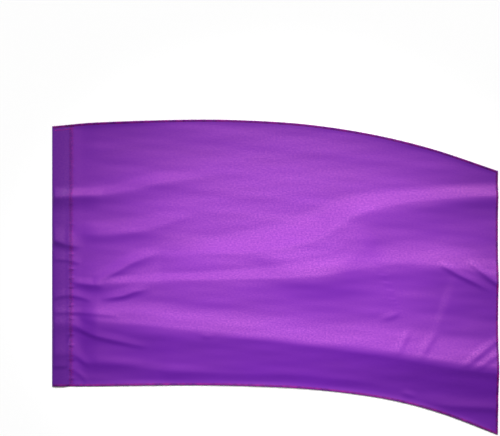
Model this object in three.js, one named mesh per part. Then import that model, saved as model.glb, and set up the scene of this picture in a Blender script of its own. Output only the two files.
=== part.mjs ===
// Worship flag: a hand-held dance flag of thin satin, lying face up on a flat surface.
// One cut of cloth. Its long edges are curved, its free edges are hemmed, and its straight
// short edge is turned to the back and sewn down as a sleeve for a pole.
// Millimetres, +Z up. +X runs from the sleeve to the fly end, +Y towards the upper edge.
// The origin is under the middle of the flag, on the surface that it lies on.

import * as THREE from "three";

// Driving dimensions
const FLAG_LENGTH = 1016;
const CLOTH_THICKNESS = 1.2;
const HEM_THICKNESS = 2.0;
const HEM_WIDTH = 4.5;
const HEM_STEP = 1.5;
const SLEEVE_WIDTH = 43;
const SLEEVE_ROOM = 7.2;
const SLEEVE_EDGE_WALL = 3;
const SLEEVE_MOUTH_Y = -249;
const SEWN_END_LENGTH = 14;
const SEWN_END_TAPER = 110;
const SEWN_END_ROOM = 0.12;
const SEAM_GAP = 0.3;
const FOLD_FADE_AT_SEAM = 64;

// How finely the solids are cut
const PANEL_COLUMNS = 36;
const PANEL_ROWS = 58;
const SLEEVE_LENGTHS = 46;
const SLEEVE_SIDE_POINTS = 8;
const FOLD_STEPS_PER_SPAN = 8;

const HOIST_X = -FLAG_LENGTH / 2;
const FLY_X = FLAG_LENGTH / 2;
const SEAM_X = HOIST_X + SLEEVE_WIDTH;

// Upper and lower edges of the cloth: x, y
const UPPER_EDGE = [
  [-508, 344],
  [-415, 352],
  [-190, 359],
  [-50, 356.5],
  [85, 346.5],
  [225, 324.5],
  [360, 291.5],
  [508, 242],
];
const LOWER_EDGE = [
  [-465, -249],
  [-195, -246],
  [-55, -248],
  [80, -255],
  [215, -271],
  [310, -290],
  [400, -317],
  [508, -359],
];

// Soft folds of the lying cloth. Each row is a place on the fold's crest:
// x, y, rise of the crest, width of the side towards +Y, width of the side towards -Y
const FOLDS = {
  long_fold: [
    [-535, -85, 3, 44, 80],
    [-445, -98, 4.5, 50, 95],
    [-400, -104, 5.5, 52, 100],
    [-285, -113, 6.8, 58, 120],
    [-170, -125, 7, 64, 125],
    [11, -143, 7.6, 72, 120],
    [103, -153, 8, 74, 115],
    [194, -161, 9, 74, 110],
    [285, -175, 10, 72, 105],
    [376, -193, 10.5, 72, 105],
    [445, -204, 10.5, 76, 110],
    [535, -213, 9.5, 74, 120],
  ],
  long_swell: [
    [-535, -70, 4, 150, 250],
    [-170, -120, 8, 215, 220],
    [55, -145, 8.6, 220, 200],
    [240, -170, 6.4, 200, 180],
    [535, -205, 4.5, 130, 190],
  ],
  upper_fold: [
    [-262, 48, 0, 40, 150],
    [-171, 50, 4.5, 42, 200],
    [-80, 50, 8, 60, 240],
    [11, 60, 11, 68, 260],
    [103, 87, 12, 72, 280],
    [148, 116, 11, 66, 280],
    [194, 142, 9.5, 54, 260],
    [285, 164, 6, 44, 170],
    [376, 175, 5.5, 38, 90],
    [468, 182, 5.5, 36, 70],
    [560, 184, 5, 34, 60],
  ],
  middle_step: [
    [-35, 36, 0, 30, 40],
    [11, 26, 1.8, 40, 60],
    [57, 19, 3, 50, 90],
    [103, 16, 3.6, 60, 110],
    [148, 28, 3.8, 66, 110],
    [194, 58, 2.8, 66, 100],
    [240, 84, 0, 60, 90],
  ],
  centre_fold: [
    [-485, -20, 1, 16, 30],
    [-400, -15, 2.2, 18, 40],
    [-262, -9, 3, 22, 60],
    [-171, -7, 3.8, 24, 100],
    [-35, -5, 4.8, 32, 120],
    [103, 1, 6.4, 48, 140],
    [194, 16, 5.4, 52, 140],
    [285, 28, 7.2, 58, 130],
    [376, 23, 8.6, 58, 120],
    [468, 8, 7.6, 52, 120],
    [560, -8, 6, 46, 120],
  ],
  hoist_upper_fold: [
    [-535, 183, 3.4, 24, 38],
    [-400, 187, 3, 24, 42],
    [-330, 197, 3.2, 30, 50],
    [-262, 212, 3.2, 34, 56],
    [-190, 222, 1.5, 30, 50],
    [-120, 232, 0, 30, 50],
  ],
  hoist_middle_fold: [
    [-535, 103, 1.6, 30, 30],
    [-445, 100, 2.4, 34, 36],
    [-388, 97, 2.8, 38, 42],
    [-330, 103, 3, 38, 40],
    [-262, 117, 2.6, 36, 44],
    [-190, 140, 0, 28, 24],
  ],
  lower_hoist_fold: [
    [-440, -193, 0, 60, 30],
    [-400, -196, 1.5, 64, 32],
    [-330, -201, 1.6, 66, 32],
    [-240, -211, 1.7, 68, 32],
    [-90, -216, 1.8, 68, 32],
    [55, -221, 1.8, 66, 32],
    [200, -237, 1.4, 64, 30],
    [310, -262, 0, 60, 28],
  ],
  fly_corner_fold: [
    [330, -280, 0, 30, 24],
    [388, -291, 2, 32, 26],
    [450, -296, 2.6, 34, 28],
    [525, -300, 2.6, 36, 28],
  ],
  upper_edge_swell: [
    [-560, 385, 5, 60, 150],
    [-190, 395, 5.4, 60, 160],
    [80, 380, 6.4, 60, 150],
    [240, 345, 6.2, 60, 120],
    [400, 297, 4.5, 60, 75],
    [560, 245, 4.5, 60, 50],
  ],
};

// Puckers across the sleeve's upper layer: y, rise, half width towards +Y, half width towards -Y
const SLEEVE_PUCKERS = [
  [262, 0.8, 30, 24],
  [184, 1.7, 26, 22],
  [108, 1.4, 34, 26],
  [46, 1.0, 26, 20],
  [-34, 1.2, 24, 18],
  [-76, 1.4, 20, 16],
  [-118, 1.1, 18, 16],
  [-168, 1.3, 24, 16],
  [-212, 1.2, 18, 14],
];

// Share of each side of a fold that is rounded: at the crest and at the foot
const CREST_ROUNDING = 0.14;
const FOOT_ROUNDING_UP = 0.4;
const FOOT_ROUNDING_DOWN = 0.7;

function mix(a, b, t) {
  return a + (b - a) * t;
}

function smooth(t) {
  const s = Math.min(Math.max(t, 0), 1);
  return s * s * (3 - 2 * s);
}

// Height of a smooth curve through points [x, y], at x
function curveAt(points, x) {
  let i = 0;
  while (i < points.length - 2 && x > points[i + 1][0]) {
    i += 1;
  }
  const slopeAt = (k) => {
    const before = points[Math.max(k - 1, 0)];
    const after = points[Math.min(k + 1, points.length - 1)];
    return (after[1] - before[1]) / (after[0] - before[0]);
  };
  const [x0, y0] = points[i];
  const [x1, y1] = points[i + 1];
  const span = x1 - x0;
  const t = (x - x0) / span;
  const bend = t * (1 - t);
  const lean0 = slopeAt(i) * span - (y1 - y0);
  const lean1 = slopeAt(i + 1) * span - (y1 - y0);
  return mix(y0, y1, t) + bend * ((1 - t) * lean0 - t * lean1);
}

// The rows of a fold, filled in to a smooth chain of closely spaced rows
function smoothRows(rows) {
  const first = rows[0].map((value, k) => 2 * value - rows[1][k]);
  const end = rows.length - 1;
  const last = rows[end].map((value, k) => 2 * value - rows[end - 1][k]);
  const all = [first, ...rows, last];
  const chain = [];
  for (let i = 1; i < all.length - 2; i += 1) {
    for (let step = 0; step < FOLD_STEPS_PER_SPAN; step += 1) {
      const t = step / FOLD_STEPS_PER_SPAN;
      chain.push(all[i].map((b, k) => {
        const [a, c, d] = [all[i - 1][k], all[i + 1][k], all[i + 2][k]];
        const curve = 2 * a - 5 * b + 4 * c - d;
        const twist = 3 * b - a - 3 * c + d;
        return 0.5 * (2 * b + (c - a) * t + curve * t * t + twist * t * t * t);
      }));
    }
  }
  chain.push(rows[end]);
  return chain;
}

// Share of a crest's rise that is left at t, from 0 on the crest to 1 at the fold's foot
function flank(t, footRounding) {
  if (t >= 1) {
    return 0;
  }
  const whole = 1 - CREST_ROUNDING / 2 - footRounding / 2;
  if (t < CREST_ROUNDING) {
    return 1 - (t * t) / (2 * CREST_ROUNDING) / whole;
  }
  if (t < 1 - footRounding) {
    return 1 - (t - CREST_ROUNDING / 2) / whole;
  }
  return ((1 - t) * (1 - t)) / (2 * footRounding) / whole;
}

// Rise of one fold at a point, measured across the nearest stretch of its crest
function foldRise(chain, x, y) {
  let nearest = Infinity;
  let found = null;
  for (let i = 0; i < chain.length - 1; i += 1) {
    const here = chain[i];
    const next = chain[i + 1];
    const length = Math.hypot(next[0] - here[0], next[1] - here[1]);
    const alongX = (next[0] - here[0]) / length;
    const alongY = (next[1] - here[1]) / length;
    const ahead = (x - here[0]) * alongX + (y - here[1]) * alongY;
    const reach = Math.min(Math.max(ahead, 0), length);
    const offX = x - here[0] - reach * alongX;
    const offY = y - here[1] - reach * alongY;
    const distance = Math.hypot(offX, offY);
    if (distance < nearest) {
      nearest = distance;
      found = { here, next, share: reach / length, up: alongX * offY - alongY * offX >= 0 };
    }
  }
  const { here, next, share, up } = found;
  const rise = Math.max(mix(here[2], next[2], share), 0);
  const width = up ? mix(here[3], next[3], share) : mix(here[4], next[4], share);
  return rise * flank(nearest / width, up ? FOOT_ROUNDING_UP : FOOT_ROUNDING_DOWN);
}

const FOLD_CHAINS = Object.values(FOLDS).map(smoothRows);

// Height of the cloth's underside above the surface it lies on. The folds die out at the seam.
function underside(x, y) {
  let height = 0;
  for (const chain of FOLD_CHAINS) {
    height += foldRise(chain, x, y);
  }
  return height * smooth((x - SEAM_X) / FOLD_FADE_AT_SEAM);
}

// A list of places from 0 to the full length, with two close places for a hem at an end
function places(length, count, hemAtStart) {
  const inner = HEM_WIDTH + HEM_STEP;
  const start = hemAtStart ? [0, HEM_WIDTH] : [];
  const from = hemAtStart ? inner : 0;
  const to = length - inner;
  const even = Array.from({ length: count + 1 }, (_, i) => mix(from, to, i / count));
  return [...start, ...even, length - HEM_WIDTH, length];
}

// A closed slab from two grids of points, lower and upper, with rows of equal length
function slabGeometry(lower, upper) {
  const rows = lower.length;
  const columns = lower[0].length;
  const positions = [...lower.flat(2), ...upper.flat(2)];
  const low = (r, c) => r * columns + c;
  const high = (r, c) => rows * columns + low(r, c);
  const index = [];
  const quad = (a, b, c, d) => index.push(a, b, c, a, c, d);
  for (let r = 0; r < rows - 1; r += 1) {
    for (let c = 0; c < columns - 1; c += 1) {
      quad(high(r, c), high(r, c + 1), high(r + 1, c + 1), high(r + 1, c));
      quad(low(r, c), low(r + 1, c), low(r + 1, c + 1), low(r, c + 1));
    }
  }
  for (let c = 0; c < columns - 1; c += 1) {
    quad(low(0, c), low(0, c + 1), high(0, c + 1), high(0, c));
    quad(low(rows - 1, c + 1), low(rows - 1, c), high(rows - 1, c), high(rows - 1, c + 1));
  }
  for (let r = 0; r < rows - 1; r += 1) {
    quad(low(r + 1, 0), low(r, 0), high(r, 0), high(r + 1, 0));
    quad(low(r, columns - 1), low(r + 1, columns - 1), high(r + 1, columns - 1), high(r, columns - 1));
  }
  const geometry = new THREE.BufferGeometry();
  geometry.setAttribute("position", new THREE.Float32BufferAttribute(positions, 3));
  geometry.setIndex(index);
  geometry.computeVertexNormals();
  return geometry;
}

// The flag's field: one sheet with its folds, thicker along its hemmed edges
function panelGeometry() {
  const left = SEAM_X + SEAM_GAP;
  const columns = places(FLY_X - left, PANEL_COLUMNS, false);
  const lower = [];
  const upper = [];
  const rowCount = places(1, PANEL_ROWS, true).length;
  for (let r = 0; r < rowCount; r += 1) {
    const lowRow = [];
    const highRow = [];
    for (const [c, across] of columns.entries()) {
      const x = left + across;
      const bottom = curveAt(LOWER_EDGE, x);
      const height = curveAt(UPPER_EDGE, x) - bottom;
      const y = bottom + places(height, PANEL_ROWS, true)[r];
      const hemmed = r < 2 || r >= rowCount - 2 || c >= columns.length - 2;
      const z = underside(x, y);
      lowRow.push([x, y, z]);
      highRow.push([x, y, z + (hemmed ? HEM_THICKNESS : CLOTH_THICKNESS)]);
    }
    lower.push(lowRow);
    upper.push(highRow);
  }
  return slabGeometry(lower, upper);
}

// Room inside the sleeve at share s from the seam to the turned edge, and at place y
function sleeveRoom(s, y, sewnEnd) {
  const arch = Math.sqrt(Math.max(1 - (2 * s - 1) ** 2, 0));
  let pucker = 0;
  for (const [crest, rise, above, below] of SLEEVE_PUCKERS) {
    const width = y > crest ? above : below;
    pucker += rise * flank(Math.abs(y - crest) / width, FOOT_ROUNDING_UP);
  }
  const opened = smooth((sewnEnd - y) / SEWN_END_TAPER);
  return (SLEEVE_ROOM * mix(SEWN_END_ROOM, 1, opened) + pucker * opened) * arch;
}

// One ring of the sleeve: along its lower layer and back along its upper one
function sleeveRing(along, inner) {
  const wall = inner ? SLEEVE_EDGE_WALL : 0;
  const lower = [];
  const upper = [];
  for (let i = 0; i <= SLEEVE_SIDE_POINTS; i += 1) {
    const round = (1 - Math.cos((Math.PI * i) / SLEEVE_SIDE_POINTS)) / 2;
    const s = mix(wall, SLEEVE_WIDTH - wall, round) / SLEEVE_WIDTH;
    const x = SEAM_X - s * SLEEVE_WIDTH;
    const end = curveAt(UPPER_EDGE, x);
    const reach = inner ? end - SEWN_END_LENGTH : end;
    const y = mix(SLEEVE_MOUTH_Y, reach, along);
    const room = sleeveRoom(s, y, end);
    lower.push([x, y, inner ? CLOTH_THICKNESS : 0]);
    upper.push([x, y, (inner ? CLOTH_THICKNESS : 2 * CLOTH_THICKNESS) + room]);
  }
  return [...lower, ...upper.reverse()];
}

// The turned-over edge: a flat tube, open at its lower end and sewn shut at its upper end
function sleeveGeometry() {
  const rings = [];
  for (let i = 0; i <= SLEEVE_LENGTHS; i += 1) {
    rings.push(sleeveRing(i / SLEEVE_LENGTHS, false));
  }
  const outerRings = rings.length;
  for (let i = 0; i <= SLEEVE_LENGTHS; i += 1) {
    rings.push(sleeveRing(i / SLEEVE_LENGTHS, true));
  }
  const around = rings[0].length;
  const at = (ring, k) => ring * around + (k % around);
  const index = [];
  const quad = (a, b, c, d) => index.push(a, b, c, a, c, d);
  for (let k = 0; k < around; k += 1) {
    for (let i = 0; i < SLEEVE_LENGTHS; i += 1) {
      const inside = outerRings + i;
      quad(at(i, k), at(i, k + 1), at(i + 1, k + 1), at(i + 1, k));
      quad(at(inside, k), at(inside + 1, k), at(inside + 1, k + 1), at(inside, k + 1));
    }
    quad(at(0, k), at(outerRings, k), at(outerRings, k + 1), at(0, k + 1));
  }
  const closeEnd = (ring, outward) => {
    for (let k = 0; k < SLEEVE_SIDE_POINTS; k += 1) {
      const [a, b] = [at(ring, k), at(ring, k + 1)];
      const [c, d] = [at(ring, around - 2 - k), at(ring, around - 1 - k)];
      if (outward) {
        quad(a, b, c, d);
      } else {
        quad(a, d, c, b);
      }
    }
  };
  closeEnd(outerRings - 1, true);
  closeEnd(rings.length - 1, false);
  const geometry = new THREE.BufferGeometry();
  geometry.setAttribute("position", new THREE.Float32BufferAttribute(rings.flat(2), 3));
  geometry.setIndex(index);
  geometry.computeVertexNormals();
  return geometry;
}

const satin = new THREE.MeshStandardMaterial({ color: 0x8f3fbb, roughness: 0.5, metalness: 0 });
const doubledSatin = new THREE.MeshStandardMaterial({ color: 0x722da4, roughness: 0.55, metalness: 0 });

const panel = new THREE.Mesh(panelGeometry(), satin);
panel.name = "flag_panel";

const sleeve = new THREE.Mesh(sleeveGeometry(), doubledSatin);
sleeve.name = "pole_sleeve";

// The flag is centred on its outline, so that the origin lies under its middle
const flag = new THREE.Group();
flag.add(panel, sleeve);
const outline = new THREE.Box3().setFromObject(flag);
for (const piece of [panel, sleeve]) {
  piece.geometry.translate(-(outline.min.x + outline.max.x) / 2, -(outline.min.y + outline.max.y) / 2, 0);
}

export default flag;
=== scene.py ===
"""Worship flag of thin satin, laid flat, face up, with its pole sleeve on the left.

The cloth is one closed sheet: the sleeve's lower layer, its turned edge and upper layer, and
then the field with its hems. The thread is sewn on by Geometry Nodes. Lengths in the tables
are millimetres, in the same frame as the solids: +X to the fly end, +Y to the upper edge.
"""

import math

import bpy
import numpy as np
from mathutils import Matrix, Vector


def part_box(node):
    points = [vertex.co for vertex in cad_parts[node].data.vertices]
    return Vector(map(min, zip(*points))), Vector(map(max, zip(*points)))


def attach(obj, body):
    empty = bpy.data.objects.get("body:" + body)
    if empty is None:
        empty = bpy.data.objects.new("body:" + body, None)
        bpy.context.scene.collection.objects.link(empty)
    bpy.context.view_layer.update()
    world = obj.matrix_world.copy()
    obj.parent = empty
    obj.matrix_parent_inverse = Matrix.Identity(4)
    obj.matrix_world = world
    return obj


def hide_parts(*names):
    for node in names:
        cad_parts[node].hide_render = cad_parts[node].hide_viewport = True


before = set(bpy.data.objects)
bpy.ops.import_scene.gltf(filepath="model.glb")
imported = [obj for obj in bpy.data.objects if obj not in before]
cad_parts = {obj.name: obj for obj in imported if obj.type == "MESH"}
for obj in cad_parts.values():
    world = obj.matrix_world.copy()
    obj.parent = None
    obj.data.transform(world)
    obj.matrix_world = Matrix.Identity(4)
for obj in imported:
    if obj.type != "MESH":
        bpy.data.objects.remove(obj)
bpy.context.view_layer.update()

bl_info = {
    "name": "Worship flag",
    "version": (1, 0, 0),
    "blender": (4, 5, 0),
    "location": "3D View > Sidebar > Flag",
    "description": "Makes a satin worship flag, its sewing and a plain studio for it",
    "category": "Object",
}

MM = 0.001

# Edges of the flag, in millimetres, from the solids
HOIST_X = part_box("pole_sleeve")[0][0] / MM
SEAM_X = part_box("pole_sleeve")[1][0] / MM
FLY_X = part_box("flag_panel")[1][0] / MM
SLEEVE_WIDTH = SEAM_X - HOIST_X
MOUTH_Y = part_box("pole_sleeve")[0][1] / MM

# Upper and lower edges of the cloth: x, y
UPPER_EDGE = [
    (-508, 344),
    (-415, 352),
    (-190, 359),
    (-50, 356.5),
    (85, 346.5),
    (225, 324.5),
    (360, 291.5),
    (508, 242),
]
LOWER_EDGE = [
    (-465, -249),
    (-195, -246),
    (-55, -248),
    (80, -255),
    (215, -271),
    (310, -290),
    (400, -317),
    (508, -359),
]

# Main folds. Each row is a place on the fold's crest: x, y, rise of the crest, width of the
# side on the left of the way that the rows run, width of the side on the right
FOLDS = {
    "long_fold": [
        (-535, -85, 3.0, 44, 80),
        (-445, -98, 4.5, 50, 95),
        (-400, -104, 5.5, 52, 100),
        (-285, -113, 6.8, 58, 120),
        (-170, -125, 7.0, 64, 125),
        (11, -143, 7.6, 72, 120),
        (103, -153, 8.0, 74, 115),
        (194, -161, 9.0, 74, 110),
        (285, -175, 10.0, 72, 105),
        (376, -193, 10.5, 72, 105),
        (445, -204, 10.5, 76, 110),
        (535, -213, 9.5, 74, 120),
    ],
    "long_swell": [
        (-535, -70, 4.0, 150, 250),
        (-170, -120, 8.0, 215, 220),
        (55, -145, 8.6, 220, 200),
        (240, -170, 6.4, 200, 180),
        (535, -205, 4.5, 130, 190),
    ],
    "upper_fold": [
        (-262, 48, 0, 40, 150),
        (-171, 50, 4.5, 42, 200),
        (-80, 50, 8.0, 60, 240),
        (11, 60, 11.0, 68, 260),
        (103, 87, 12.0, 72, 280),
        (148, 116, 11.0, 66, 280),
        (194, 142, 9.5, 54, 260),
        (285, 164, 6.0, 44, 170),
        (376, 175, 5.5, 38, 90),
        (468, 182, 5.5, 36, 70),
        (560, 184, 5.0, 34, 60),
    ],
    "middle_step": [
        (-35, 36, 0, 30, 40),
        (11, 26, 1.8, 40, 60),
        (57, 19, 3.0, 50, 90),
        (103, 16, 3.6, 60, 110),
        (148, 28, 3.8, 66, 110),
        (194, 58, 2.8, 66, 100),
        (240, 84, 0, 60, 90),
    ],
    "centre_fold": [
        (-485, -20, 1.0, 16, 30),
        (-400, -15, 2.2, 18, 40),
        (-262, -9, 3.0, 22, 60),
        (-171, -7, 3.8, 24, 100),
        (-35, -5, 4.8, 32, 120),
        (103, 1, 6.4, 48, 140),
        (194, 16, 5.4, 52, 140),
        (285, 28, 7.2, 58, 130),
        (376, 23, 8.6, 58, 120),
        (468, 8, 7.6, 52, 120),
        (560, -8, 6.0, 46, 120),
    ],
    "hoist_upper_fold": [
        (-535, 183, 3.4, 24, 38),
        (-400, 187, 3.0, 24, 42),
        (-330, 197, 3.2, 30, 50),
        (-262, 212, 3.2, 34, 56),
        (-190, 222, 1.5, 30, 50),
        (-120, 232, 0, 30, 50),
    ],
    "hoist_middle_fold": [
        (-535, 103, 1.6, 30, 30),
        (-445, 100, 2.4, 34, 36),
        (-388, 97, 2.8, 38, 42),
        (-330, 103, 3.0, 38, 40),
        (-262, 117, 2.6, 36, 44),
        (-190, 140, 0, 28, 24),
    ],
    "lower_hoist_fold": [
        (-440, -193, 0, 60, 30),
        (-400, -196, 1.5, 64, 32),
        (-330, -201, 1.6, 66, 32),
        (-240, -211, 1.7, 68, 32),
        (-90, -216, 1.8, 68, 32),
        (55, -221, 1.8, 66, 32),
        (200, -237, 1.4, 64, 30),
        (310, -262, 0, 60, 28),
    ],
    "fly_corner_fold": [
        (330, -280, 0, 30, 24),
        (388, -291, 2.0, 32, 26),
        (450, -296, 2.6, 34, 28),
        (525, -300, 2.6, 36, 28),
    ],
    "upper_edge_swell": [
        (-560, 385, 5.0, 60, 150),
        (-190, 395, 5.4, 60, 160),
        (80, 380, 6.4, 60, 150),
        (240, 345, 6.2, 60, 120),
        (400, 297, 4.5, 60, 75),
        (560, 245, 4.5, 60, 50),
    ],
}

# Wide low swells and fine creases. They cross the seam and the sleeve where they reach them.
# Same columns as the folds.
CREASES = {
    "lower_swell": [
        (-330, -50, 0, 260, 220), (-200, -60, 2.2, 260, 220), (-50, -66, 3.0, 260, 220),
        (100, -66, 3.4, 260, 220), (250, -60, 3.6, 260, 220), (400, -50, 2.6, 260, 220),
        (560, -50, 2.2, 260, 220),
    ],
    "middle_swell": [
        (-60, 42, 0, 40, 200), (0, 42, 1.2, 50, 200), (70, 44, 1.4, 54, 200),
        (125, 54, 1.2, 54, 200), (165, 72, 0, 40, 160),
    ],
    "lower_hem_hollow": [
        (-262, -214, 0, 90, 24), (-235, -217, 1.0, 110, 26), (-180, -217, 1.0, 120, 32),
        (-100, -218, 0.8, 120, 34), (-20, -220, 0.8, 120, 34), (60, -226, 0.7, 120, 34),
        (150, -237, 0.4, 110, 34), (230, -250, 0, 90, 34),
    ],
    "lower_hoist_hollow": [
        (-448, -188, 0, 50, 26), (-425, -192, 1.2, 60, 28), (-375, -193, 1.4, 60, 28),
        (-330, -197, 0.8, 60, 26), (-300, -200, 0, 50, 24),
    ],
    "hoist_upper": [
        (-536, 183, 5.8, 26, 40), (-490, 183, 5.6, 26, 40), (-445, 185, 3.4, 24, 40),
        (-415, 186, 1.4, 24, 38), (-390, 188, 0, 24, 36),
    ],
    "hoist_shoulder": [
        (-536, 92, 2.4, 40, 18), (-502, 84, 4.2, 40, 18), (-472, 74, 3.2, 38, 16),
        (-455, 71, 1.2, 34, 14), (-436, 70, 0, 34, 12),
    ],
    "hoist_notch": [
        (-513, 41, 0.6, 20, 8), (-477, 39, 1.2, 20, 8), (-454, 34, 0.8, 20, 8),
        (-440, 32, 0, 20, 8),
    ],
    "fan": [
        (-414, -12, 0, 22, 20), (-394, -3, 2.4, 24, 20), (-366, 11, 3.4, 26, 22),
        (-332, 30, 3.4, 28, 26), (-302, 43, 2.6, 26, 28), (-270, 54, 1.2, 24, 28),
        (-236, 62, 0, 24, 28),
    ],
    "long_fold_edge": [
        (-190, -128, 0, 20, 12), (-100, -136, 0.6, 22, 16), (11, -146, 0.8, 24, 20),
        (103, -158, 0.8, 24, 24), (194, -171, 0.8, 24, 26), (285, -184, 0.8, 24, 26),
        (376, -200, 0.8, 24, 24), (445, -211, 1.0, 24, 20), (525, -221, 1.2, 24, 18),
    ],
    "below_centre": [
        (-475, -8, 0, 18, 16), (-445, -14, 1.8, 18, 16), (-408, -18, 1.6, 18, 16),
        (-385, -22, 0, 18, 16),
    ],
    "centre_short": [
        (-398, -50, 0, 20, 16), (-372, -46, 2.0, 20, 14), (-345, -42, 2.8, 22, 14),
        (-320, -33, 2.4, 20, 16), (-294, -28, 0.8, 20, 16), (-275, -26, 0, 20, 16),
    ],
    "seam_cross": [
        (-513, -52, 1.0, 20, 10), (-490, -43, 1.4, 20, 10), (-463, -42, 1.5, 20, 10),
        (-436, -48, 1.2, 20, 10), (-413, -55, 0, 20, 10),
    ],
    "seam_line": [
        (-513, -80, 1.0, 16, 10), (-456, -80, 1.2, 16, 10), (-376, -86, 0.8, 16, 10),
        (-350, -91, 0, 16, 10),
    ],
    "long_fold_root": [
        (-513, -72, 0.8, 22, 26), (-470, -80, 1.2, 26, 26), (-440, -88, 0.3, 28, 30),
        (-410, -96, 0, 28, 30),
    ],
    "low_hoist": [
        (-513, -104, 4.6, 40, 70), (-468, -107, 4.0, 34, 56), (-449, -114, 2.3, 22, 20),
        (-431, -124, 2.0, 22, 12), (-408, -133, 2.0, 22, 12), (-381, -140, 1.8, 22, 12),
        (-349, -147, 1.5, 20, 12), (-315, -154, 1.0, 18, 12), (-288, -158, 0, 16, 12),
    ],
    "low_short": [
        (-513, -174, 3.0, 60, 40), (-472, -174, 2.8, 54, 36), (-452, -180, 1.4, 26, 16),
        (-436, -192, 1.2, 18, 12), (-418, -204, 0, 14, 10),
    ],
    "low_sleeve": [
        (-513, -202, 1.3, 22, 12), (-478, -202, 1.3, 22, 12), (-462, -204, 0.6, 14, 14),
        (-440, -206, 0, 14, 14),
    ],
    "hoist_corner": [
        (-480, -218, 0, 12, 10), (-458, -214, 0.6, 12, 10), (-445, -221, 0.8, 12, 10),
        (-431, -235, 0.4, 12, 10), (-425, -245, 0, 12, 10),
    ],
    "long_fold_tick": [
        (-165, -130, 0, 14, 8), (-156, -134, 1.0, 14, 8), (-146, -140, 0, 14, 8),
    ],
    "fly_lower_line": [
        (370, 32, 0, 16, 12), (388, 23, 1.6, 16, 12), (411, 9, 2.0, 16, 12),
        (433, -2, 2.0, 16, 12), (456, -13, 1.6, 16, 12), (480, -26, 0.6, 16, 12),
        (500, -34, 0, 16, 12),
    ],
    "fly_upper_line": [
        (436, 34, 0, 14, 12), (449, 28, 1.4, 14, 12), (468, 14, 2.0, 14, 12),
        (490, -4, 2.0, 14, 12), (513, -20, 1.8, 14, 12),
    ],
    "pressed_line": [
        (410, 10, 0, 50, 16), (404, -13, 0.8, 60, 16), (394, -45, 1.7, 70, 16),
        (384, -75, 1.9, 70, 16), (374, -105, 0.8, 66, 16), (366, -125, 0, 50, 16),
    ],
    "first_streak": [
        (276, -180, 0, 16, 14), (286, -158, 0.9, 18, 13), (298, -136, 0.9, 18, 13),
        (309, -114, 0, 16, 13),
    ],
    "second_streak": [
        (326, -190, 0, 18, 16), (340, -165, 1.1, 22, 16), (356, -142, 1.1, 22, 16),
        (374, -118, 0, 18, 16),
    ],
    "fly_slant_upper": [
        (422, -208, 0, 12, 9), (447, -190, 1.8, 16, 8), (475, -168, 2.0, 16, 8),
        (511, -142, 1.2, 16, 8),
    ],
    "fly_slant_lower": [
        (450, -214, 0, 9, 9), (475, -195, 1.6, 9, 10), (511, -172, 1.2, 9, 10),
    ],
    "long_fold_nick": [
        (235, -102, 0, 12, 12), (258, -91, 1.2, 12, 12), (285, -82, 0, 12, 12),
    ],
    "hem_nick": [
        (285, -262, 0, 14, 14), (302, -266, 1.0, 14, 14), (325, -272, 0, 14, 14),
    ],
}

# Small puckers that the seam draws up:
# y, rise, reach into the sleeve, reach into the field, half width
SEAM_PUCKERS = [
    (331, 0.25, 12, 10, 5),
    (304, 0.30, 10, 14, 6),
    (281, 0.25, 14, 10, 5),
    (252, 0.35, 12, 16, 6),
    (229, 0.25, 10, 10, 5),
    (206, 0.35, 14, 12, 5),
    (168, 0.40, 16, 12, 5),
    (146, 0.25, 10, 12, 5),
    (121, 0.30, 12, 16, 6),
    (97, 0.30, 12, 10, 5),
    (52, 0.8, 14, 12, 5),
    (19, 0.9, 12, 12, 4.5),
    (-2, 0.8, 12, 10, 4.5),
    (-22, 0.9, 14, 12, 4.5),
    (-64, 0.8, 12, 12, 5),
    (-94, 0.8, 12, 14, 5),
    (-130, 0.9, 14, 14, 5),
    (-155, 0.9, 12, 12, 4.5),
    (-187, 0.8, 14, 12, 5),
    (-210, 0.8, 12, 10, 4.5),
    (-231, 0.7, 12, 12, 4.5),
]

# Section of the lying sleeve, from the seam round to the lower layer's free edge:
# share of the sleeve's width from the seam, share of its crown height
SLEEVE_SECTION = [
    (0.00, 0.00),
    (0.06, 0.01),
    (0.12, 0.05),
    (0.18, 0.26),
    (0.26, 0.58),
    (0.36, 0.84),
    (0.50, 0.97),
    (0.66, 1.00),
    (0.80, 0.95),
    (0.90, 0.82),
    (0.96, 0.64),
    (0.99, 0.42),
    (1.00, 0.22),
    (0.99, 0.06),
    (0.95, 0.00),
]

# Uneven lift of limp cloth: wave length along X, along Y, phase, share of the lift
WAVES = [
    (610, 96, 0.4, 0.34),
    (430, 61, 2.1, 0.26),
    (-520, 74, 4.0, 0.24),
    (260, 43, 1.2, 0.16),
    (-310, 29, 5.3, 0.12),
    (190, 23, 3.1, 0.08),
]

# Stretches of the field's columns, measured from the seam along X: from, to, spacing
FIELD_COLUMNS = [
    (0, 65, 3.4),
    (65, 215, 5.2),
    (215, 735, 8.8),
    (735, 845, 4.2),
    (845, 967, 6.2),
]
ROW_COUNT = 224
HEM_PLACES = (0, 1.2, 2.6, 4.0, 4.8)
LOWER_LAYER_COLUMNS = 9
SECTION_STEPS = 2
FOLD_STEPS = 8

# Shares of a fold's side that round off at its crest and at its feet
CREST_ROUNDING = 0.14
FOOT_ROUNDING_LEFT = 0.4
FOOT_ROUNDING_RIGHT = 0.7

# Reaches in millimetres: folds that fade towards the seam, cloth that lies on the hem's thread,
# the slope down from the hem, and the flatter mouth of the sleeve
FOLD_FADE_AT_SEAM = 64
THREAD_REACH = 14
HEM_SLOPE = 4
MOUTH_REACH = 70

# Share of its crown that the sleeve loses at its mouth
MOUTH_FLATNESS = 0.5

# Length in which the field comes down past the turned layer, in widths of its allowance
ALLOWANCE_SLOPE = 3

# How quickly creases set in away from the sleeve's turned edge, over its width, and how
# quickly the two layers part, over its crown
TURNED_EDGE_HOLD = 6
LAYER_PARTING = 10

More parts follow.
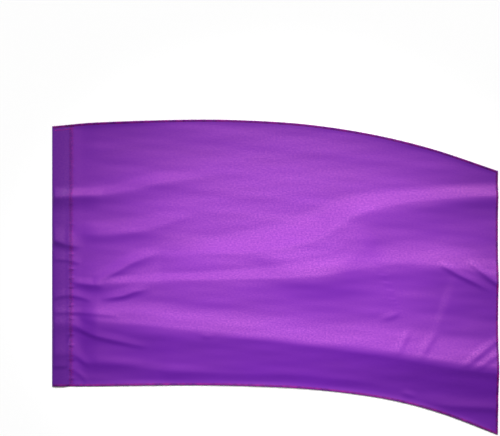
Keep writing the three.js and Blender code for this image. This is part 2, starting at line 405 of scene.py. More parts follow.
# Paths of the seam, of the row that closes the sleeve's end, and of the loops, in millimetres
SEAM_STEP = 2.0
SEAM_INSET = 1.5
SEAM_OFFSET = 0.6
END_ROW_STEP = 1.5
END_ROW_INSET = 10.0
END_ROW_START = 6.0
END_ROW_OVERRUN = 5.0
RIM_STEP = 3.0

# Distance to each side over which the slope under a stitch is measured, in millimetres
SLOPE_REACH = 0.8

# Stitches of the closing row, in metres
END_ROW_WIDTH = 0.003
END_ROW_PITCH = 0.0022

# Lift of the zigzag in thread radiuses, place of the loops' middle in loop lengths, and the
# loops' lean with its least and greatest share
ZIGZAG_LIFT = 0.35
LOOP_INSET = 0.42
LOOP_LEAN = 0.35
LEAN_RANGE = (0.6, 1.4)

# Sides of the threads, and corners of a loop
ZIGZAG_SIDES = 5
LOOP_SIDES = 4
LOOP_CORNERS = 8

# Studio
KEY_DIRECTION = (-0.16, -0.64, -0.75)
KEY_ANGLE = math.radians(16)
GLOSS_PLACE = (0.02, 0.56, 2.8)
GLOSS_TARGET = (0.02, 0.01, 0.0)
FLOOR_HALF = 15.0


# Shape of the lying cloth


def smooth(t):
    s = np.clip(t, 0, 1)
    return s * s * (3 - 2 * s)


def curve_at(points, x):
    """Height of a smooth curve through points (x, y), at every x of an array."""
    xs, ys = np.array(points, float).T
    before = np.maximum(np.arange(len(xs)) - 1, 0)
    after = np.minimum(np.arange(len(xs)) + 1, len(xs) - 1)
    slopes = (ys[after] - ys[before]) / (xs[after] - xs[before])
    i = np.clip(np.searchsorted(xs, x, side="left") - 1, 0, len(xs) - 2)
    span = xs[i + 1] - xs[i]
    step = ys[i + 1] - ys[i]
    t = (x - xs[i]) / span
    lean_here = slopes[i] * span - step
    lean_next = slopes[i + 1] * span - step
    return ys[i] + step * t + t * (1 - t) * ((1 - t) * lean_here - t * lean_next)


def upper_edge(x):
    return curve_at(UPPER_EDGE, x)


def lower_edge(x):
    start = LOWER_EDGE[0][0]
    return np.where(x < start, MOUTH_Y, curve_at(LOWER_EDGE, np.maximum(x, start)))


def smooth_chain(rows, steps):
    """A smooth chain through every row, with each stretch between two rows cut in steps."""
    rows = np.array(rows, float)
    rows = np.vstack([2 * rows[0] - rows[1], rows, 2 * rows[-1] - rows[-2]])
    t = np.arange(steps)[:, None] / steps
    chain = []
    for a, b, c, d in zip(rows, rows[1:], rows[2:], rows[3:]):
        curve = 2 * a - 5 * b + 4 * c - d
        twist = 3 * b - a - 3 * c + d
        chain.append(0.5 * (2 * b + (c - a) * t + curve * t**2 + twist * t**3))
    return np.vstack([*chain, rows[-2][None]])


def flank(t, foot):
    """Share of a crest's rise that is left at t, from 0 on the crest to 1 at the fold's foot."""
    whole = 1 - CREST_ROUNDING / 2 - foot / 2
    near_crest = 1 - t**2 / (2 * CREST_ROUNDING) / whole
    slope = 1 - (t - CREST_ROUNDING / 2) / whole
    near_foot = np.maximum(1 - t, 0) ** 2 / (2 * foot) / whole
    return np.where(t < CREST_ROUNDING, near_crest, np.where(t < 1 - foot, slope, near_foot))


def fold_rise(chain, x, y):
    """Rise of one fold at points, measured across the nearest stretch of its crest."""
    nearest = np.full(x.shape, np.inf)
    rise = np.zeros(x.shape)
    width = np.ones(x.shape)
    on_left = np.ones(x.shape, bool)
    for here, there in zip(chain, chain[1:]):
        length = math.hypot(*(there - here)[:2])
        along_x, along_y = (there - here)[:2] / length
        ahead = (x - here[0]) * along_x + (y - here[1]) * along_y
        reach = np.clip(ahead, 0, length)
        off_x = x - here[0] - reach * along_x
        off_y = y - here[1] - reach * along_y
        distance = np.hypot(off_x, off_y)
        closer = distance < nearest
        left = along_x * off_y - along_y * off_x >= 0
        at = here[2:, None, None] + (there - here)[2:, None, None] * (reach / length)
        nearest = np.where(closer, distance, nearest)
        rise = np.where(closer, at[0], rise)
        width = np.where(closer, np.where(left, at[1], at[2]), width)
        on_left = np.where(closer, left, on_left)
    t = nearest / width
    share = np.where(on_left, flank(t, FOOT_ROUNDING_LEFT), flank(t, FOOT_ROUNDING_RIGHT))
    return np.maximum(rise, 0) * share


def total_rise(table, x, y):
    return sum(fold_rise(smooth_chain(rows, FOLD_STEPS), x, y) for rows in table.values())


def pucker_rise(x, y):
    """Small cross ridges on both sides of the seam."""
    rise = np.zeros(x.shape)
    for at, height, into_sleeve, into_field, half_width in SEAM_PUCKERS:
        reach = np.where(x < SEAM_X, into_sleeve, into_field)
        along = smooth(1 - np.abs(x - SEAM_X) / reach)
        rise += height * along * smooth(1 - np.abs(y - at) / half_width)
    return rise


def fine_rise(x, y):
    return total_rise(CREASES, x, y) + pucker_rise(x, y)


def undulation(x, y, amplitude):
    """Faint uneven lift of limp cloth: a few long waves that mostly run along X."""
    lift = np.zeros(x.shape)
    for across, up, phase, share in WAVES:
        lift += share * np.sin(2 * math.pi * (x / across + y / up) + phase)
    return amplitude * lift


def sleeve_crown(y, sizes):
    """Height of the sleeve's upper layer over its lower one, along Y."""
    opened = smooth((upper_edge(np.array(HOIST_X)) - y) / sizes.end_taper)
    pressed = 1 - MOUTH_FLATNESS * (1 - smooth((y - MOUTH_Y) / MOUTH_REACH))
    return sizes.end_rise + (sizes.crown - sizes.end_rise) * opened * pressed


def field_height(x, y, sizes):
    """Height of the field's lower face: folds, creases, puckers, thread and turned layer under it."""
    from_seam = x - SEAM_X
    allowance = sizes.seam_allowance
    away = smooth(from_seam / FOLD_FADE_AT_SEAM)
    main = total_rise(FOLDS, x, y) * away
    fine = fine_rise(x, y)
    lift = (undulation(x, y, sizes.undulation) + sizes.undulation) * away
    over_turned_edge = 1 - smooth((from_seam - allowance) / (ALLOWANCE_SLOPE * allowance))
    rim = np.minimum(np.minimum(y - lower_edge(x), upper_edge(x) - y), FLY_X - x)
    near_rim = (1 - smooth(rim / THREAD_REACH)) * smooth(from_seam / THREAD_REACH)
    return main + fine + lift + sizes.thread_room * near_rim + sizes.layer_gap * over_turned_edge


def sleeve_height(share, crown_share, x, y, sizes):
    """Height of the sleeve's upper layer. Creases die out where the edge turns down."""
    held = smooth((1 - share) * TURNED_EDGE_HOLD)
    return sizes.layer_gap + crown_share * sleeve_crown(y, sizes) + fine_rise(x, y) * held


def front_height(x, y, sizes):
    """Height of the cloth's face at points of the field or of the sleeve's upper layer."""
    share = np.clip((SEAM_X - x) / SLEEVE_WIDTH, 0, 1)
    widest = np.argmax([reach for reach, _ in SLEEVE_SECTION])
    crown_share = np.interp(share, *np.array(SLEEVE_SECTION[: widest + 1]).T)
    lower_face = np.where(
        x < SEAM_X,
        sleeve_height(share, crown_share, x, y, sizes),
        field_height(x, y, sizes),
    )
    return lower_face + sizes.cloth


class Sizes:
    """The sizes of the panel's property groups, in millimetres, for the shape functions."""

    def __init__(self, scene):
        group = scene.flag_sizes
        self.cloth = group.cloth_thickness / MM
        self.hem = group.hem_thickness / MM
        self.seam_allowance = group.seam_allowance / MM
        self.layer_gap = group.layer_gap / MM
        self.crown = group.sleeve_crown / MM
        self.end_rise = group.sleeve_end_rise / MM
        self.end_taper = group.sleeve_end_taper / MM
        self.undulation = group.undulation / MM
        stitches = scene.flag_stitches
        half_loop = (stitches.loop_height - group.hem_thickness) / 2
        self.thread_room = (half_loop + stitches.thread_radius) / MM


def row_places(lower, upper):
    """Y of every row of the grid, closer together along the hems. One column for each x."""
    hem = np.array(HEM_PLACES)[:, None]
    inner = np.linspace(0, 1, ROW_COUNT)[:, None]
    start = lower + HEM_PLACES[-1]
    end = upper - HEM_PLACES[-1]
    middle = start + (end - start) * inner
    return np.vstack([lower + hem[:-1], middle, upper - hem[:-1][::-1]])


def field_columns():
    """X of the field's columns, from just past the seam to the fly end."""
    xs = []
    for start, end, spacing in FIELD_COLUMNS:
        count = round((end - start) / spacing)
        xs.extend(SEAM_X + start + (end - start) * (i + 1) / count for i in range(count))
    last = FLY_X - HEM_PLACES[-1]
    xs = [x for x in xs if x < last - 1]
    return np.array(xs + [last] + [FLY_X - place for place in HEM_PLACES[:-1]][::-1])


def cloth_grid(sizes):
    """The cloth's middle surface as a grid of points, with its thickness, cloth length and layers."""
    section = np.clip(smooth_chain(SLEEVE_SECTION, SECTION_STEPS), 0, 1)[::-1]
    free_edge = -sizes.seam_allowance / SLEEVE_WIDTH
    lower_shares = np.linspace(free_edge, section[0][0], LOWER_LAYER_COLUMNS, endpoint=False)
    shares = np.concatenate([lower_shares, section[:, 0]])
    crown_shares = np.concatenate([np.zeros(LOWER_LAYER_COLUMNS), section[:, 1]])
    turned = np.arange(len(shares)) <= LOWER_LAYER_COLUMNS + np.argmax(section[:, 0])
    count = len(shares)

    x_line = np.concatenate([SEAM_X - shares * SLEEVE_WIDTH, field_columns()])
    y = row_places(lower_edge(x_line), upper_edge(x_line))
    x = np.broadcast_to(x_line, y.shape)

    crown = crown_shares * np.ones((len(y), 1))
    share = shares * np.ones((len(y), 1))
    upper_layer = sleeve_height(share, crown, x[:, :count], y[:, :count], sizes)
    lower_layer = crown * sleeve_crown(y[:, :count], sizes)
    # The turned edge comes down onto the lower layer, which has no creases of its own
    parted = smooth(crown * LAYER_PARTING) * turned + (1 - turned)
    sleeve = lower_layer + (upper_layer - lower_layer) * parted
    field = field_height(x[:, count:], y[:, count:], sizes)

    hem = np.minimum(np.minimum(y - y[:1], y[-1:] - y), FLY_X - x)
    thicker = smooth((HEM_PLACES[-1] - hem) / HEM_SLOPE)
    thick = sizes.cloth + (sizes.hem - sizes.cloth) * thicker
    thick[:, :count] = sizes.cloth
    z = np.hstack([sleeve, field]) + thick / 2

    middle = len(y) // 2
    steps = np.hypot(np.diff(x[middle]), np.diff(z[middle]))
    run = np.concatenate([[0], np.cumsum(steps)])
    layers = np.broadcast_to(np.where(np.arange(len(x_line)) < count, 1.0, 0.0), y.shape)
    return np.stack([x, y, z], -1), thick, run, layers


def grid_normals(points):
    along = np.gradient(points, axis=1)
    up = np.gradient(points, axis=0)
    normal = np.cross(along, up)
    return normal / np.linalg.norm(normal, axis=-1, keepdims=True)


def closed_sheet(name, points, thick, run, layers):
    """A closed thin mesh round a grid of middle points, with a UV map in metres of cloth."""
    rows, columns = points.shape[:2]
    offset = grid_normals(points) * thick[..., None] / 2
    verts = np.concatenate([(points + offset).reshape(-1, 3), (points - offset).reshape(-1, 3)]) * MM
    front = np.arange(rows * columns).reshape(rows, columns)
    back = front + rows * columns

    def quads(a, b, c, d):
        return np.stack([a, b, c, d], -1).reshape(-1, 4)

    def strip(f, b):
        return quads(f[:-1], b[:-1], b[1:], f[1:])

    faces = np.concatenate([
        quads(front[:-1, :-1], front[:-1, 1:], front[1:, 1:], front[1:, :-1]),
        quads(back[:-1, :-1], back[1:, :-1], back[1:, 1:], back[:-1, 1:]),
        strip(front[0], back[0]),
        strip(front[-1][::-1], back[-1][::-1]),
        strip(front[::-1, 0], back[::-1, 0]),
        strip(front[:, -1], back[:, -1]),
    ])
    mesh = bpy.data.meshes.new(name)
    mesh.from_pydata(verts.tolist(), [], faces.tolist())
    corner = np.empty(len(mesh.loops), np.int32)
    mesh.loops.foreach_get("vertex_index", corner)
    u = np.broadcast_to(run, (rows, columns)).ravel() * MM
    v = points[..., 1].ravel() * MM
    uv = np.stack([np.tile(u, 2), np.tile(v, 2)], -1)
    length = mesh.uv_layers.new(name="ClothLength").data
    length.foreach_set("uv", uv[corner].astype(np.float32).ravel())
    doubled = mesh.attributes.new("doubled", "FLOAT", "POINT")
    doubled.data.foreach_set("value", np.tile(layers.ravel(), 2).astype(np.float32))
    mesh.shade_smooth()
    mesh.update()
    return new_object(name, mesh)


def new_object(name, data):
    piece = bpy.data.objects.new(name, data)
    bpy.context.scene.collection.objects.link(piece)
    return piece


# Materials


class NodeMaker:
    """Short calls for making and joining the nodes of a tree."""

    def node(self, kind, settings=None, **inputs):
        made = self.tree.nodes.new(kind)
        for key, value in (settings or {}).items():
            setattr(made, key, value)
        for key, value in inputs.items():
            self.put(made.inputs[key.replace("_", " ")], value)
        return made

    def put(self, socket, value):
        if isinstance(value, bpy.types.NodeSocket):
            self.tree.links.new(value, socket)
        else:
            socket.default_value = value

    def math(self, operation, *values):
        made = self.node("ShaderNodeMath", {"operation": operation})
        for socket, value in zip(made.inputs, values):
            self.put(socket, value)
        return made.outputs[0]


class Shader(NodeMaker):
    """A new material's node tree."""

    def __init__(self, name):
        self.material = bpy.data.materials.new(name)
        self.material.use_nodes = True
        self.tree = self.material.node_tree
        self.tree.nodes.clear()

    def place(self):
        return self.node("ShaderNodeTexCoord").outputs["Object"]

    def stretched(self, vector, scale):
        return self.node("ShaderNodeMapping", Vector=vector, Scale=scale).outputs["Vector"]

    def noise(self, vector, scale, detail, roughness=0.5):
        made = self.node("ShaderNodeTexNoise", Vector=vector, Scale=scale)
        self.put(made.inputs["Detail"], detail)
        self.put(made.inputs["Roughness"], roughness)
        return made.outputs["Fac"]

    def spread(self, value, low, high, start=0.0, end=1.0):
        """Turns values from low to high into values from start to end."""
        made = self.node(
            "ShaderNodeMapRange", Value=value, From_Min=low, From_Max=high, To_Min=start, To_Max=end
        )
        return made.outputs["Result"]

    def mix(self, factor, a, b):
        made = self.node("ShaderNodeMix", {"data_type": "RGBA"})
        self.put(made.inputs["Factor"], factor)
        self.put(made.inputs[6], a)
        self.put(made.inputs[7], b)
        return made.outputs[2]

    def bump(self, height, strength, distance):
        made = self.node("ShaderNodeBump", Strength=strength, Distance=distance, Height=height)
        return made.outputs["Normal"]

    def finish(self, **inputs):
        """Ends the tree with a surface of the given inputs, and returns the material."""
        surface = self.node("ShaderNodeBsdfPrincipled", **inputs).outputs["BSDF"]
        self.node("ShaderNodeOutputMaterial", Surface=surface)
        return self.material


def rgba(colour):
    return (*colour, 1.0)


def satin_material(finish):
    """Satin: purple floats with a pinkish gloss, uneven dye, thread grain, and painted shade that darkens
    doubled cloth for the light that passes one layer but not two.
    """
    weave_depth = 0.08
    slub_depth = 0.5
    slub_dye = 0.10

    s = Shader("flag_satin")
    cloth = s.node("ShaderNodeUVMap", {"uv_map": "ClothLength"}).outputs["UV"]
    doubled = s.node("ShaderNodeAttribute", {"attribute_name": "doubled"}).outputs["Fac"]

    cloud = s.noise(s.stretched(s.place(), (5.0, 16.0, 16.0)), scale=1.0, detail=3.0, roughness=0.55)
    dye = s.mix(s.spread(cloud, low=0.32, high=0.68), rgba(finish.satin_deep), rgba(finish.satin))
    # Painted shade: where the cloth is doubled the dye is mixed towards a darker colour, standing in for
    # light that shines through one layer but not through two
    dye = s.mix(s.math("MULTIPLY", doubled, finish.doubled_shade_share), dye, rgba(finish.doubled_painted_shade))

    weave = s.node(
        "ShaderNodeTexWave",
        {"wave_type": "BANDS", "bands_direction": "Y"},
        Vector=cloth,
        Scale=900.0,
        Distortion=2.0,
        Detail=1.0,
    ).outputs["Fac"]
    slub = s.noise(s.stretched(cloth, (140.0, 900.0, 1.0)), scale=1.0, detail=2.0)
    grain = s.noise(cloth, scale=520.0, detail=2.0, roughness=0.6)
    slub_tone = s.spread(slub, low=0.3, high=0.7, end=slub_dye)
    dye = s.mix(slub_tone, dye, rgba(finish.satin_deep))
    relief = s.math("ADD", s.math("MULTIPLY", slub, slub_depth), grain)
    relief = s.math("ADD", s.math("MULTIPLY", weave, weave_depth), relief)

    floats = s.noise(s.stretched(cloth, (210.0, 320.0, 1.0)), scale=1.0, detail=1.0, roughness=0.6)
    glossiest = finish.gloss_roughness - finish.sparkle
    dullest = finish.gloss_roughness + finish.sparkle
    rough = s.spread(floats, low=0.3, high=0.7, start=glossiest, end=dullest)
    return s.finish(
        Base_Color=dye,
        Roughness=s.math("ADD", rough, s.math("MULTIPLY", doubled, finish.doubled_roughness)),
        Normal=s.bump(relief, finish.grain_strength, distance=0.0006),
        IOR=1.75,
        Specular_IOR_Level=1.0,
        Specular_Tint=rgba(finish.gloss_tint),
        Coat_Weight=finish.clear_gloss,
        Coat_Roughness=0.45,
    )


def thread_material(name, bright, deep):
    """Twisted sewing thread: fine uneven plies and an uneven dye."""
    s = Shader(name)
    ply = s.noise(s.place(), scale=2600.0, detail=1.0)
    tone = s.noise(s.place(), scale=90.0, detail=2.0)
    tone = s.spread(tone, low=0.36, high=0.66)
    return s.finish(
        Base_Color=s.mix(tone, rgba(deep), rgba(bright)),
        Roughness=0.6,
        Normal=s.bump(ply, strength=0.4, distance=0.0002),
        Specular_IOR_Level=0.2,
    )


def floor_material(finish):
    """Plain pale studio floor with a trace of unevenness, which glows a little."""
    unevenness = 1.01
    s = Shader("studio_floor")
    pale = rgba(finish.floor)
    paler = rgba([min(c * unevenness, 1.0) for c in finish.floor])
    return s.finish(
        Base_Color=s.mix(s.noise(s.place(), scale=2.0, detail=2.0), pale, paler),
        Roughness=0.9,
        Emission_Color=pale,
        Emission_Strength=0.1,
    )


# Thread, sewn by Geometry Nodes


class ThreadTree(NodeMaker):
    """A node group that sews along a path whose points carry their face's normal."""

    def __init__(self, name, *sizes):
        self.tree = bpy.data.node_groups.new(name, "GeometryNodeTree")
        face = self.tree.interface
        face.new_socket("Geometry", in_out="INPUT", socket_type="NodeSocketGeometry")
        for label in (*sizes, "Thread Radius", "Unevenness"):
            face.new_socket(label, in_out="INPUT", socket_type="NodeSocketFloat")
        face.new_socket("Seed", in_out="INPUT", socket_type="NodeSocketInt")
        face.new_socket("Material", in_out="INPUT", socket_type="NodeSocketMaterial")
        face.new_socket("Geometry", in_out="OUTPUT", socket_type="NodeSocketGeometry")
        self.given = self.tree.nodes.new("NodeGroupInput").outputs
        self.result = self.tree.nodes.new("NodeGroupOutput").inputs[0]

    def vector(self, operation, a, b):
        made = self.node("ShaderNodeVectorMath", {"operation": operation})
        self.put(made.inputs[0], a)
        self.put(made.inputs[3] if operation == "SCALE" else made.inputs[1], b)
        return made.outputs[0]

    def random(self, low, high):
        made = self.node("FunctionNodeRandomValue", {"data_type": "FLOAT"}, Seed=self.given["Seed"])
        self.put(made.inputs[2], low)
        self.put(made.inputs[3], high)
        return made.outputs[1]

    def uneven(self):
        """A random share round 1 for each stitch."""
        least = self.math("SUBTRACT", 1.0, self.given["Unevenness"])
        most = self.math("ADD", 1.0, self.given["Unevenness"])
        return self.random(least, most)

    def stepped_path(self, step):
        """The path cut in equal steps, with its normal, its direction and the direction across it."""
        path = self.node("GeometryNodeMeshToCurve", Mesh=self.given["Geometry"]).outputs[0]
        path = self.node("GeometryNodeResampleCurve", {"mode": "LENGTH"}, Curve=path, Length=step)
        normal = self.node("GeometryNodeInputNamedAttribute", {"data_type": "FLOAT_VECTOR"}, Name="facing")
        along = self.node("GeometryNodeInputTangent").outputs[0]
        across = self.vector("CROSS_PRODUCT", along, normal.outputs[0])
        return path.outputs[0], normal.outputs[0], along, across

    def tube(self, curve, sides):
        radius = self.given["Thread Radius"]
        profile = self.node("GeometryNodeCurvePrimitiveCircle", Resolution=sides, Radius=radius).outputs[0]
        tube = self.node("GeometryNodeCurveToMesh", Curve=curve, Profile_Curve=profile, Fill_Caps=True)
        return self.node("GeometryNodeSetShadeSmooth", Geometry=tube.outputs[0]).outputs[0]

    def finish(self, geometry):
        real = self.node("GeometryNodeRealizeInstances", Geometry=geometry).outputs[0]
        thread = self.node("GeometryNodeSetMaterial", Geometry=real, Material=self.given["Material"])
        self.put(self.result, thread.outputs[0])
        return self.tree


def zigzag_tree():
    """One thread that steps from side to side along a path."""
    t = ThreadTree("Zigzag thread", "Width", "Pitch", "Lift")
    path, normal, _, across = t.stepped_path(t.math("MULTIPLY", t.given["Pitch"], 0.5))
    index = t.node("GeometryNodeInputIndex").outputs[0]
    side = t.math("SUBTRACT", t.math("MODULO", index, 2.0), 0.5)
    sideways = t.math("MULTIPLY", t.math("MULTIPLY", side, t.uneven()), t.given["Width"])
    lift = t.vector("SCALE", normal, t.given["Lift"])
    offset = t.vector("ADD", t.vector("SCALE", across, sideways), lift)
    path = t.node("GeometryNodeSetPosition", Geometry=path, Offset=offset).outputs[0]
    return t.finish(t.tube(path, ZIGZAG_SIDES))


def edge_loop_tree():
    """Loops of thread that wrap a hem's rim, one at each step of the path, leaning a little."""
    t = ThreadTree("Edge loops", "Loop Length", "Loop Height", "Pitch", "Lean")
    path, normal, along, across = t.stepped_path(t.given["Pitch"])
    least, most = [t.math("MULTIPLY", t.given["Lean"], share) for share in LEAN_RANGE]
    leaning = t.vector("ADD", across, t.vector("SCALE", along, t.random(least, most)))
    turn = t.node(
        "FunctionNodeAxesToRotation",
        {"primary_axis": "Z", "secondary_axis": "X"},
        Primary_Axis=normal,
        Secondary_Axis=leaning,
    ).outputs[0]
    ring = t.node("GeometryNodeCurvePrimitiveCircle", Resolution=LOOP_CORNERS, Radius=0.5).outputs[0]
    long, high = t.given["Loop Length"], t.given["Loop Height"]
    size = t.node("ShaderNodeCombineXYZ", X=long, Y=high, Z=1.0).outputs[0]
    ring = t.node("GeometryNodeTransform", Geometry=ring, Scale=size).outputs[0]
    ring = t.node("GeometryNodeTransform", Geometry=ring, Rotation=(math.pi / 2, 0.0, 0.0)).outputs[0]
    loops = t.node(
        "GeometryNodeInstanceOnPoints",
        Points=path,
        Instance=t.tube(ring, LOOP_SIDES),
        Rotation=turn,
        Scale=t.node("ShaderNodeCombineXYZ", X=t.uneven(), Y=1.0, Z=1.0).outputs[0],
    )
    return t.finish(loops.outputs[0])


def sewn_piece(name, tree, path, facing, values):
    """Runs a thread tree on a path of points (millimetres) and keeps the result as a plain mesh."""
    mesh = bpy.data.meshes.new(name)
    points = np.array(path) * MM
    mesh.from_pydata(points.tolist(), [(i, i + 1) for i in range(len(points) - 1)], [])
    normals = mesh.attributes.new("facing", "FLOAT_VECTOR", "POINT")
    normals.data.foreach_set("vector", np.array(facing, np.float32).ravel())
    piece = new_object(name, mesh)
    modifier = piece.modifiers.new("Thread", "NODES")
    modifier.node_group = tree
    for item in tree.interface.items_tree:
        if item.in_out == "INPUT" and item.name in values:
            modifier[item.identifier] = values[item.name]
    graph = bpy.context.evaluated_depsgraph_get()
    made = bpy.data.meshes.new_from_object(piece.evaluated_get(graph))
    piece.modifiers.remove(modifier)
    piece.data = made
    made.name = name
    bpy.data.meshes.remove(mesh)
    if not len(made.polygons):
        raise RuntimeError(f"{name} came out empty")
    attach(piece, "root")
    return piece


def surface_path(x, y, sizes):
    """Points on the cloth's face, and the face's normals there."""
    x, y = np.atleast_2d(x).astype(float), np.atleast_2d(y).astype(float)
    reach = SLOPE_REACH
    slope_x = (front_height(x + reach, y, sizes) - front_height(x - reach, y, sizes)) / (2 * reach)
    slope_y = (front_height(x, y + reach, sizes) - front_height(x, y - reach, sizes)) / (2 * reach)
    normal = np.stack([-slope_x, -slope_y, np.ones(x.shape)], -1)
    normal /= np.linalg.norm(normal, axis=-1, keepdims=True)
    return np.stack([x, y, front_height(x, y, sizes)], -1)[0], normal[0]


def hem_path(inset):
    """The hemmed edge from the sleeve's mouth round the fly to its sewn end, drawn in by inset."""
    left, right = HOIST_X + inset, FLY_X - inset
    fly = np.array([FLY_X])
    lower_x = np.arange(left, right, RIM_STEP)
    fly_y = np.arange(lower_edge(fly)[0] + inset, upper_edge(fly)[0] - inset, RIM_STEP)
    upper_x = np.arange(right, left, -RIM_STEP)
    x = np.concatenate([lower_x, np.full(len(fly_y), right), upper_x])
    y = np.concatenate([lower_edge(lower_x) + inset, fly_y, upper_edge(upper_x) - inset])
    return x, y


# Settings


def number_property(name, description, default, **kind):
    return bpy.props.FloatProperty(name=name, description=description, default=default, **kind)


def length_property(name, description, default):
    return number_property(name, description, default, min=0.0, subtype="DISTANCE", unit="LENGTH")


def share_property(name, description, default):
    return number_property(name, description, default, min=0.0, max=1.0, subtype="FACTOR")


def colour_property(name, description, default):
    return bpy.props.FloatVectorProperty(
        name=name, description=description, default=default, size=3, min=0.0, max=1.0, subtype="COLOR"
    )


class FlagSizes(bpy.types.PropertyGroup):
    cloth_thickness: length_property("Cloth thickness", "Thickness of the satin", 0.0004)
    hem_thickness: length_property("Hem thickness", "Thickness of the rolled hem", 0.0007)
    seam_allowance: length_property(
        "Seam allowance", "Turned layer that reaches past the seam under the field", 0.007
    )
    layer_gap: length_property(
        "Layer gap", "Height of the upper layer over the lower one at the seam", 0.0005
    )
    sleeve_crown: length_property("Sleeve crown", "Height to which the lying sleeve bulges", 0.0046)
    sleeve_end_rise: length_property("Sewn end height", "Height of the sleeve at its sewn end", 0.0009)
    sleeve_end_taper: length_property(
        "Sewn end taper", "Length over which the sleeve flattens to its sewn end", 0.3
    )
    undulation: length_property("Undulation", "Faint uneven lift of the limp cloth", 0.0005)


class FlagStitches(bpy.types.PropertyGroup):
    thread_radius: length_property("Thread radius", "Radius of the sewing thread", 0.00034)
    zigzag_width: length_property("Zigzag width", "Width of the zigzag that holds the sleeve", 0.0098)
    zigzag_pitch: length_property("Zigzag pitch", "Length of one zigzag stitch along the seam", 0.0036)
    loop_length: length_property("Edge loop length", "How far a hem loop reaches in from the rim", 0.0055)
    loop_height: length_property(
        "Edge loop height", "Height of a hem loop over and under the rim", 0.0017
    )
    loop_pitch: length_property("Edge loop pitch", "Distance between hem loops", 0.0016)
    unevenness: share_property("Unevenness", "How much stitches differ from each other", 0.16)
    seed: bpy.props.IntProperty(name="Seed", description="Seed of the stitches' unevenness", default=11)


class FlagFinish(bpy.types.PropertyGroup):
    satin: colour_property("Satin", "Colour of the satin", (0.078, 0.0010, 0.322))
    satin_deep: colour_property("Deep satin", "Colour where the dye looks deeper", (0.068, 0.0007, 0.289))
    # Painted shade: the doubled colour and its share darken the sleeve's two layers in place of the light
    # that a single layer lets through
    doubled_painted_shade: colour_property(
        "Doubled painted shade", "Colour where two layers lie on each other", (0.040, 0.0007, 0.225)
    )
    doubled_shade_share: share_property("Doubled share", "How strongly doubled cloth darkens", 0.9)
    gloss_tint: colour_property("Gloss tint", "Tint of the satin's gloss", (0.95, 0.225, 0.70))
    gloss_roughness: share_property("Gloss roughness", "Roughness of the satin's gloss", 0.6)
    doubled_roughness: share_property("Doubled roughness", "How much duller doubled cloth is", 0.14)
    grain_strength: share_property("Grain strength", "Strength of the thread grain", 0.10)
    sparkle: share_property("Sparkle", "How unevenly rough the satin's floats are", 0.07)
    clear_gloss: share_property("Clear gloss", "Strength of the untinted glint on top of the gloss", 0.10)
    thread: colour_property("Thread", "Colour of the seam's thread", (0.700, 0.008, 0.320))
    thread_deep: colour_property(
        "Deep thread", "Darker colour of the seam's thread", (0.480, 0.006, 0.240)
    )
    edge_thread: colour_property("Edge thread", "Colour of the hems' thread", (0.420, 0.006, 0.200))
    edge_thread_deep: colour_property(
        "Deep edge thread", "Darker colour of the hems' thread", (0.110, 0.003, 0.080)
    )
    floor: colour_property("Floor", "Colour of the studio floor", (0.97, 0.97, 0.97))


class FlagStage(bpy.types.PropertyGroup):
    frame_width: length_property("Frame width", "Width of floor that the camera sees", 1.1405)
    lens: number_property("Lens", "Focal length of the camera", 85.0, min=1.0, unit="CAMERA")
    camera_x: number_property("Camera X", "Camera's place along X", -0.057, unit="LENGTH")
    camera_y: number_property("Camera Y", "Camera's place along Y", 0.135, unit="LENGTH")
    key_strength: number_property("Key strength", "Strength of the key light", 3.4, min=0.0)
    gloss_power: number_property(
        "Gloss light power", "Power of the soft light that the satin mirrors", 218.0, min=0.0, unit="POWER"
    )
    gloss_cone: number_property(
        "Gloss light cone", "Full angle of the gloss light's soft cone", math.radians(20), subtype="ANGLE"
    )
    gloss_spread: number_property(
        "Gloss light spread", "How much wider the gloss light's cone is along the flag", 1.22, min=0.1
    )
    room_strength: number_property("Room strength", "Strength of the even room light", 0.1, min=0.0)


# Operators


class FLAG_OT_stage(bpy.types.Operator):
    """Makes the camera, the floor and the studio lights"""

    bl_idname = "flag.make_stage"
    bl_label = "Stage"

    def execute(self, context):
        stage = context.scene.flag_stage
        camera = bpy.data.cameras.new("studio_camera")
        camera.lens = stage.lens
        camera.sensor_width = 36.0
        eye = new_object("studio_camera", camera)
        distance = stage.frame_width * stage.lens / camera.sensor_width
        eye.location = (stage.camera_x, stage.camera_y, distance)
        camera.clip_end = 60.0
        context.scene.camera = eye

        half = FLOOR_HALF
        mesh = bpy.data.meshes.new("studio_floor")
        corners = [(-half, -half, 0), (half, -half, 0), (half, half, 0), (-half, half, 0)]
        mesh.from_pydata(corners, [], [(0, 1, 2, 3)])
        mesh.materials.append(floor_material(context.scene.flag_finish))
        floor = new_object("studio_floor", mesh)

        key = bpy.data.lights.new("key_sun", "SUN")
        key.energy = stage.key_strength
        key.angle = KEY_ANGLE
        sun = new_object("key_sun", key)
        sun.rotation_euler = aim(KEY_DIRECTION)

        spot = bpy.data.lights.new("gloss_spot", "SPOT")
        spot.energy = stage.gloss_power
        spot.spot_size = stage.gloss_cone
        spot.spot_blend = 1.0
        spot.shadow_soft_size = 0.15
        light = new_object("gloss_spot", spot)
        light.location = GLOSS_PLACE
        light.rotation_euler = aim([to - start for to, start in zip(GLOSS_TARGET, GLOSS_PLACE)])
        light.scale = (stage.gloss_spread, 1.0, 1.0)

        world = bpy.data.worlds.new("studio_room")
        context.scene.world = world
        world.use_nodes = True
        room = world.node_tree.nodes["Background"]
        room.inputs["Color"].default_value = (1.0, 1.0, 1.0, 1.0)
        room.inputs["Strength"].default_value = stage.room_strength
        context.scene.view_settings.view_transform = "Standard"
        return {"FINISHED"}


def aim(direction):
    """Euler turn that points a lamp along a direction."""
    return Vector(direction).to_track_quat("-Z", "Y").to_euler()


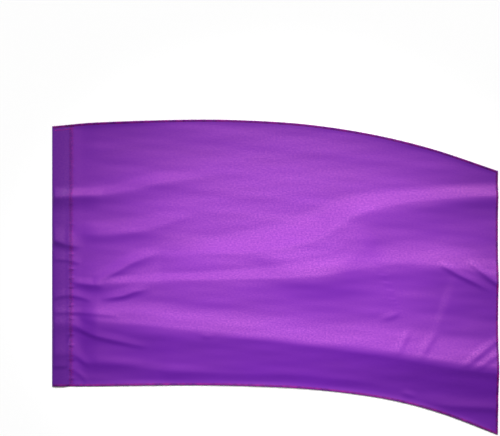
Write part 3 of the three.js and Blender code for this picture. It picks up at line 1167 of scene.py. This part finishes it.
class FLAG_OT_threads(bpy.types.Operator):
    """Sews the sleeve's zigzag seam, its closed upper end and the loops along the hems"""

    bl_idname = "flag.sew_threads"
    bl_label = "Thread"

    def execute(self, context):
        sizes = Sizes(context.scene)
        stitches = context.scene.flag_stitches
        finish = context.scene.flag_finish
        radius = stitches.thread_radius
        common = {
            "Thread Radius": radius,
            "Unevenness": stitches.unevenness,
            "Seed": stitches.seed,
        }
        crimson = common | {
            "Lift": radius * ZIGZAG_LIFT,
            "Material": thread_material("crimson_thread", finish.thread, finish.thread_deep),
        }
        zigzag = zigzag_tree()

        top = upper_edge(np.array(SEAM_X)) - SEAM_INSET
        y = np.arange(MOUTH_Y + SEAM_INSET, top, SEAM_STEP)
        path, facing = surface_path(np.full(len(y), SEAM_X + SEAM_OFFSET), y, sizes)
        seam = {"Width": stitches.zigzag_width, "Pitch": stitches.zigzag_pitch}
        sewn_piece("sleeve_seam_zigzag", zigzag, path, facing, crimson | seam)

        x = np.arange(HOIST_X + END_ROW_START, SEAM_X + END_ROW_OVERRUN, END_ROW_STEP)
        path, facing = surface_path(x, upper_edge(x) - END_ROW_INSET, sizes)
        closing = {"Width": END_ROW_WIDTH, "Pitch": END_ROW_PITCH}
        sewn_piece("sleeve_end_zigzag", zigzag, path, facing, crimson | closing)

        # The loops' path runs inside the hem, high enough to keep every loop off the floor
        path, facing = surface_path(*hem_path(stitches.loop_length / MM * LOOP_INSET), sizes)
        path[:, 2] -= sizes.cloth - sizes.hem / 2
        steepness = np.sqrt(1 - facing[:, 2] ** 2)
        under = stitches.loop_height / 2 + radius + steepness * stitches.loop_length / 2
        path[:, 2] = np.maximum(path[:, 2], under / MM)
        loops = {
            "Loop Length": stitches.loop_length,
            "Loop Height": stitches.loop_height,
            "Pitch": stitches.loop_pitch,
            "Lean": LOOP_LEAN,
            "Material": thread_material("edge_thread", finish.edge_thread, finish.edge_thread_deep),
        }
        sewn_piece("hem_edge_loops", edge_loop_tree(), path, facing, common | loops)
        return {"FINISHED"}


class FLAG_OT_cloth(bpy.types.Operator):
    """Makes the flag's cloth, with its folds, hems and pole sleeve"""

    bl_idname = "flag.make_cloth"
    bl_label = "Cloth"

    def execute(self, context):
        sizes = Sizes(context.scene)
        points, thick, run, layers = cloth_grid(sizes)
        cloth = closed_sheet("flag_cloth", points, thick, run, layers)
        cloth.data.materials.append(satin_material(context.scene.flag_finish))
        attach(cloth, "root")
        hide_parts("flag_panel", "pole_sleeve")
        return {"FINISHED"}


class FLAG_PT_panel(bpy.types.Panel):
    """The flag's settings and its making steps"""

    bl_idname = "FLAG_PT_panel"
    bl_label = "Worship flag"
    bl_space_type = "VIEW_3D"
    bl_region_type = "UI"
    bl_category = "Flag"

    def draw(self, context):
        for name in SETTINGS:
            group = getattr(context.scene, name)
            box = self.layout.box()
            for key in group.__annotations__:
                box.prop(group, key)
        for operator in OPERATORS:
            self.layout.operator(operator.bl_idname)


SETTINGS = {
    "flag_sizes": FlagSizes,
    "flag_stitches": FlagStitches,
    "flag_finish": FlagFinish,
    "flag_stage": FlagStage,
}
OPERATORS = (FLAG_OT_stage, FLAG_OT_threads, FLAG_OT_cloth)
CLASSES = (*SETTINGS.values(), *OPERATORS, FLAG_PT_panel)


def register():
    for item in CLASSES:
        bpy.utils.register_class(item)
    for name, group in SETTINGS.items():
        setattr(bpy.types.Scene, name, bpy.props.PointerProperty(type=group))


def unregister():
    for name in SETTINGS:
        delattr(bpy.types.Scene, name)
    for item in reversed(CLASSES):
        bpy.utils.unregister_class(item)


def main():
    register()
    bpy.ops.flag.make_stage()
    bpy.ops.flag.sew_threads()
    bpy.ops.flag.make_cloth()
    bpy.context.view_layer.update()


if __name__ == "__main__":
    main()
